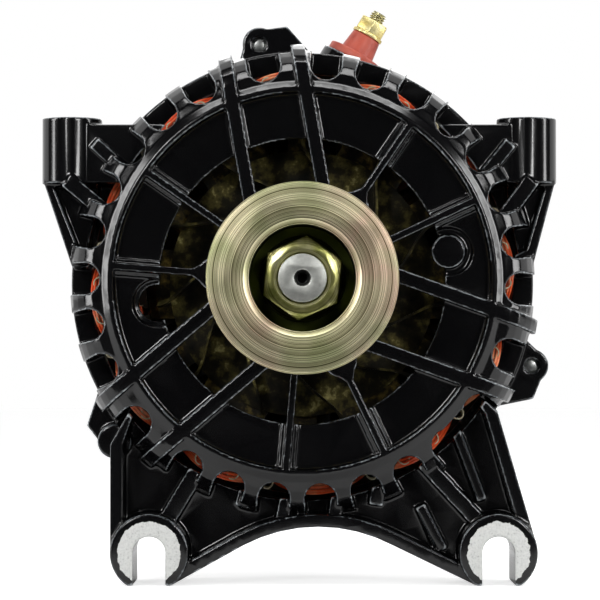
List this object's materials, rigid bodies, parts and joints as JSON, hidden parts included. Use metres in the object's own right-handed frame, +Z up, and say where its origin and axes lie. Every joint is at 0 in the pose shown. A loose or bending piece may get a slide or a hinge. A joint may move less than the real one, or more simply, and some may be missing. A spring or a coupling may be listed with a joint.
{
  "type": "engine alternator",
  "caption": "Engine alternator with ribbed belt pulley, gloss black cast case with cooling slots, two slotted lower ears, two upper bolt bosses and a battery stud.",
  "frame": {"origin": "on the shaft axis, in the middle plane of the belt grooves", "axes": "-Y out of the pulley along the shaft, +Z up along the upper bolt bosses, +X to the right seen from the pulley"},
  "size_m": [0.1755, 0.1675, 0.2046],
  "materials": {
    "cast_housing": "gloss black powder coat over cast aluminium",
    "zinc": "yellow zinc plate with turning marks",
    "bright_steel": "ground steel",
    "dark_steel": "varnished steel",
    "copper": "enamelled copper",
    "paper": "insulating paper",
    "red_plastic": "moulded red plastic",
    "black_plastic": "glass filled plastic",
    "brass": "yellow brass",
    "aluminium": "bare aluminium",
    "carbon": "pressed carbon"
  },
  "bodies": {
    "root": {"front_housing": "cast_housing", "rear_housing": "cast_housing", "stator_core": "dark_steel", "phase_winding_a": "copper", "phase_winding_b": "copper", "phase_winding_c": "copper", "slot_liners": "paper", "through_bolts": "bright_steel", "front_bearing_outer_race": "bright_steel", "front_bearing_seals": "black_plastic", "bearing_retainer": "bright_steel", "retainer_screws": "bright_steel", "rear_bearing_outer_race": "bright_steel", "rear_bearing_seals": "black_plastic", "positive_heat_sink": "aluminium", "negative_heat_sink": "aluminium", "diodes": "dark_steel", "terminal_board": "black_plastic", "rectifier_screws": "bright_steel", "phase_leads": "copper", "battery_stud": "bright_steel", "stud_insulator": "red_plastic", "stud_washer": "brass", "stud_nut": "brass", "regulator_housing": "black_plastic", "regulator_cover": "aluminium", "connector_pins": "brass", "regulator_screws": "bright_steel", "brush_holder": "black_plastic", "brush_spring_a": "bright_steel", "brush_spring_b": "bright_steel", "brush_lead_a": "copper", "brush_lead_b": "copper"},
    "rotor": {"shaft": "bright_steel", "pulley": "zinc", "pulley_nut": "zinc", "pulley_collar": "bright_steel", "front_bearing_inner_race": "bright_steel", "front_claw_pole": "dark_steel", "rear_claw_pole": "dark_steel", "rotor_core": "dark_steel", "coil_bobbin": "paper", "field_coil": "copper", "field_leads": "copper", "front_fan": "zinc", "rear_fan": "zinc", "slip_ring_sleeve": "black_plastic", "slip_ring_a": "copper", "slip_ring_b": "copper", "rear_bearing_inner_race": "bright_steel"},
    "front_cage": {"front_bearing_cage": "brass", "front_bearing_balls": "bright_steel"},
    "rear_cage": {"rear_bearing_cage": "brass", "rear_bearing_balls": "bright_steel"},
    "brush_a": {"brush_a": "carbon"},
    "brush_b": {"brush_b": "carbon"}
  },
  "joints": [
    {"name": "rotor_spin", "type": "hinge", "parent": "root", "child": "rotor", "pos_m": [0, 0, 0], "axis": [0, -1, 0], "continuous": true},
    {"name": "front_cage_spin", "type": "hinge", "parent": "root", "child": "front_cage", "pos_m": [0, 0.032, 0], "axis": [0, -1, 0], "continuous": true},
    {"name": "rear_cage_spin", "type": "hinge", "parent": "root", "child": "rear_cage", "pos_m": [0, 0.135, 0], "axis": [0, -1, 0], "continuous": true},
    {"name": "brush_a_slide", "type": "slide", "parent": "root", "child": "brush_a", "axis": [0, 0, -1], "range_m": [0, 0.006], "stiffness_N_per_m": 120, "springref_m": -0.02, "deforming": ["brush_spring_a", "brush_lead_a"]},
    {"name": "brush_b_slide", "type": "slide", "parent": "root", "child": "brush_b", "axis": [0, 0, -1], "range_m": [0, 0.006], "stiffness_N_per_m": 120, "springref_m": -0.02, "deforming": ["brush_spring_b", "brush_lead_b"]}
  ],
  "couplings": [
    {"joint": "front_cage_spin", "follows": "rotor_spin", "ratio": 0.369},
    {"joint": "rear_cage_spin", "follows": "rotor_spin", "ratio": 0.3802}
  ]
}
